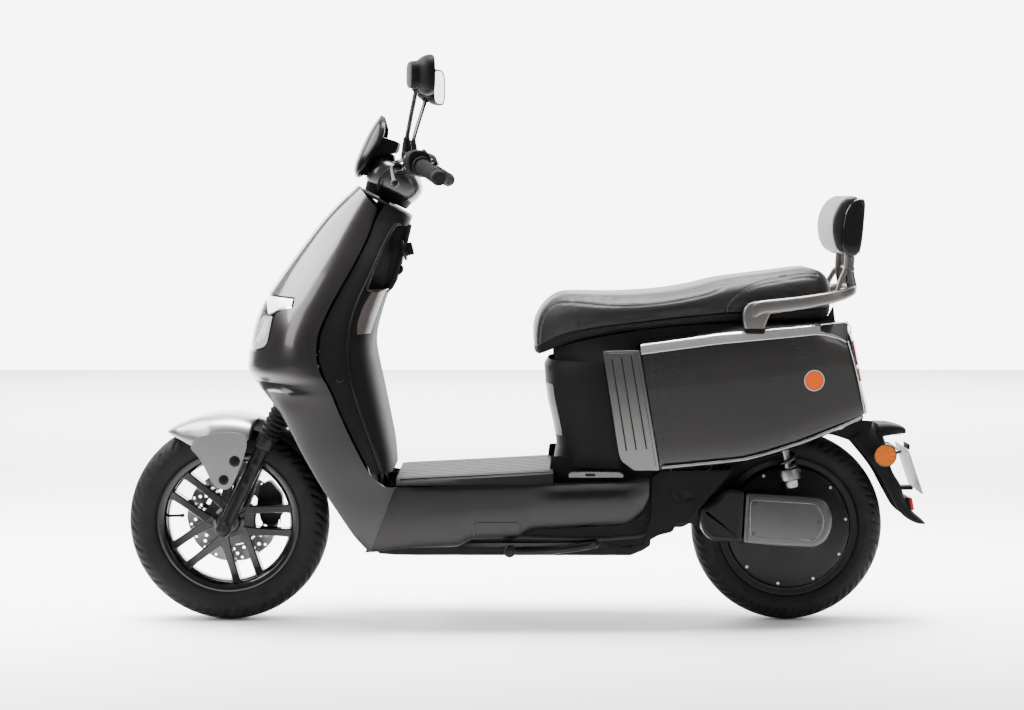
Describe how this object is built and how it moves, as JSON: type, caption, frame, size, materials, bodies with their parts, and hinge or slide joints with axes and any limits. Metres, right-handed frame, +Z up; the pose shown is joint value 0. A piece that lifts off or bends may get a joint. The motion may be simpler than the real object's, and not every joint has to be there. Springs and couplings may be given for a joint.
{
  "type": "moped scooter",
  "caption": "Step-through electric moped scooter with leg shield, long seat, rear backrest, hub motor and folding stand.",
  "frame": {"origin": "on the ground, midway along the length and on the middle plane", "axes": "+X to the scooter's left, -Y forwards, +Z up"},
  "size_m": [0.7002, 1.852, 1.2905],
  "materials": {
    "gunmetal": "metallic gloss paint",
    "silver": "metallic satin paint",
    "champagne": "satin metallic paint",
    "matte_black": "fine-grained moulded plastic",
    "gloss_black": "gloss",
    "frame_black": "semi-gloss paint",
    "tyre": "dull rubber",
    "rubber": "dull rubber",
    "leather": "grained black leathercloth",
    "steel": "brushed",
    "red_lens": "clear gloss",
    "amber_lens": "clear gloss",
    "lamp": "clear gloss",
    "white": "satin"
  },
  "bodies": {
    "frame": {"main_frame": "frame_black", "front_leg_shield": "gunmetal", "headlamp": "lamp", "inner_leg_shield": "matte_black", "floorboard": "matte_black", "battery_pack": "matte_black", "motor_controller": "steel", "lower_cover_left": "gunmetal", "lower_cover_right": "gunmetal", "belly_tray": "matte_black", "under_seat_cover": "matte_black", "side_panel_left": "gunmetal", "side_panel_right": "gunmetal", "ribbed_trim_left": "silver", "ribbed_trim_right": "silver", "storage_tub": "matte_black", "tail_lamp": "red_lens", "rear_mudguard": "matte_black", "number_plate": "white", "side_reflectors": "amber_lens", "grab_rail": "champagne", "backrest_pad": "leather", "shock_spring_left": "frame_black", "shock_spring_right": "frame_black"},
    "steering": {"steering_stem": "frame_black", "handlebar": "frame_black", "handlebar_cover": "silver", "dash_shield": "gloss_black", "switch_housing_left": "matte_black", "switch_housing_right": "matte_black", "grip_left": "rubber", "mirror_arm_left": "gloss_black", "mirror_arm_right": "gloss_black", "fork_gaiter_L": "rubber", "fork_gaiter_R": "rubber"},
    "fork": {"fork_lower": "frame_black", "front_fender": "silver", "brake_caliper": "matte_black"},
    "front_wheel": {"front_rim": "gloss_black", "front_tyre": "tyre", "brake_disc": "steel"},
    "rear_arm": {"swingarm": "frame_black", "arm_cover_left": "silver", "shock_left": "silver", "shock_right": "silver"},
    "rear_wheel": {"hub_motor": "gloss_black", "rear_tyre": "tyre"},
    "seat": {"seat": "leather"},
    "side_stand": {"side_stand": "frame_black"},
    "foot_peg_left": {"foot_peg_left": "silver"},
    "foot_peg_right": {"foot_peg_right": "silver"},
    "brake_lever_left": {"brake_lever_left": "gloss_black"},
    "brake_lever_right": {"brake_lever_right": "gloss_black"},
    "throttle": {"throttle_grip": "rubber"},
    "mirror_left": {"mirror_head_left": "matte_black"},
    "mirror_right": {"mirror_head_right": "matte_black"},
    "horn_button": {"horn_button": "gloss_black"},
    "turn_switch": {"turn_switch": "gloss_black"},
    "start_button": {"start_button": "gloss_black"},
    "ignition_key": {"ignition_key": "matte_black"}
  },
  "joints": [
    {"name": "steering_turn", "type": "hinge", "parent": "frame", "child": "steering", "pos_m": [0, -0.43004, 0.77132], "axis": [0, 0.4399, 0.898], "range_deg": [-38, 38]},
    {"name": "fork_slide", "type": "slide", "parent": "steering", "child": "fork", "axis": [0, 0.4399, 0.898], "range_m": [0, 0.055], "stiffness_N_per_m": 9000, "springref_m": -0.06, "deforming": ["fork_gaiter_L", "fork_gaiter_R"]},
    {"name": "front_wheel_spin", "type": "hinge", "parent": "fork", "child": "front_wheel", "pos_m": [0, -0.694, 0.2325], "axis": [1, 0, 0], "continuous": true},
    {"name": "rear_arm_swing", "type": "hinge", "parent": "frame", "child": "rear_arm", "pos_m": [0, 0.352, 0.25], "axis": [1, 0, 0], "range_deg": [0, 11], "stiffness_Nm_per_rad": 1100, "springref_deg": -10.89, "deforming": ["shock_spring_left", "shock_spring_right"]},
    {"name": "rear_wheel_spin", "type": "hinge", "parent": "rear_arm", "child": "rear_wheel", "pos_m": [0, 0.602, 0.2215], "axis": [1, 0, 0], "continuous": true},
    {"name": "seat_open", "type": "hinge", "parent": "frame", "child": "seat", "pos_m": [0, 0.028, 0.626], "axis": [1, 0, 0], "range_deg": [0, 75]},
    {"name": "side_stand_fold", "type": "hinge", "parent": "frame", "child": "side_stand", "pos_m": [0.13, -0.042, 0.179], "axis": [-1, 0, 0], "range_deg": [0, 100]},
    {"name": "foot_peg_left_fold", "type": "hinge", "parent": "frame", "child": "foot_peg_left", "pos_m": [0.168, 0.098, 0.36], "axis": [0, 0, -1], "range_deg": [0, 85]},
    {"name": "foot_peg_right_fold", "type": "hinge", "parent": "frame", "child": "foot_peg_right", "pos_m": [-0.168, 0.098, 0.36], "axis": [0, 0, 1], "range_deg": [0, 85]},
    {"name": "brake_lever_left_pull", "type": "hinge", "parent": "steering", "child": "brake_lever_left", "pos_m": [0.188, -0.29, 1.05], "axis": [0.267, -0.1566, 0.9509], "range_deg": [0, 18], "stiffness_Nm_per_rad": 1.5, "springref_deg": -14.32},
    {"name": "brake_lever_right_pull", "type": "hinge", "parent": "steering", "child": "brake_lever_right", "pos_m": [-0.188, -0.29, 1.05], "axis": [0.267, 0.1566, -0.9509], "range_deg": [0, 18], "stiffness_Nm_per_rad": 1.5, "springref_deg": -14.32},
    {"name": "throttle_twist", "type": "hinge", "parent": "steering", "child": "throttle", "pos_m": [-0.215, -0.24, 1.0535], "axis": [-0.9108, 0.3468, -0.2242], "range_deg": [0, 60], "stiffness_Nm_per_rad": 0.15, "springref_deg": -28.65},
    {"name": "mirror_left_turn", "type": "hinge", "parent": "steering", "child": "mirror_left", "pos_m": [0.262, -0.245, 1.218], "axis": [0, 0, 1], "range_deg": [-10, 10]},
    {"name": "mirror_right_turn", "type": "hinge", "parent": "steering", "child": "mirror_right", "pos_m": [-0.262, -0.245, 1.218], "axis": [0, 0, 1], "range_deg": [-10, 10]},
    {"name": "horn_button_press", "type": "slide", "parent": "steering", "child": "horn_button", "axis": [0.3532, -0.9129, -0.2047], "range_m": [0, 0.0006], "stiffness_N_per_m": 900, "springref_m": -0.002},
    {"name": "start_button_press", "type": "slide", "parent": "steering", "child": "start_button", "axis": [-0.3532, -0.9129, -0.2047], "range_m": [0, 0.0006], "stiffness_N_per_m": 900, "springref_m": -0.002},
    {"name": "turn_switch_slide", "type": "slide", "parent": "steering", "child": "turn_switch", "axis": [0.9285, 0.3714, -0.0071], "range_m": [-0.003, 0.003]},
    {"name": "ignition_key_turn", "type": "hinge", "parent": "frame", "child": "ignition_key", "pos_m": [0.06, -0.2825, 0.862], "axis": [0, 0.9756, 0.2195], "range_deg": [0, 60]}
  ]
}
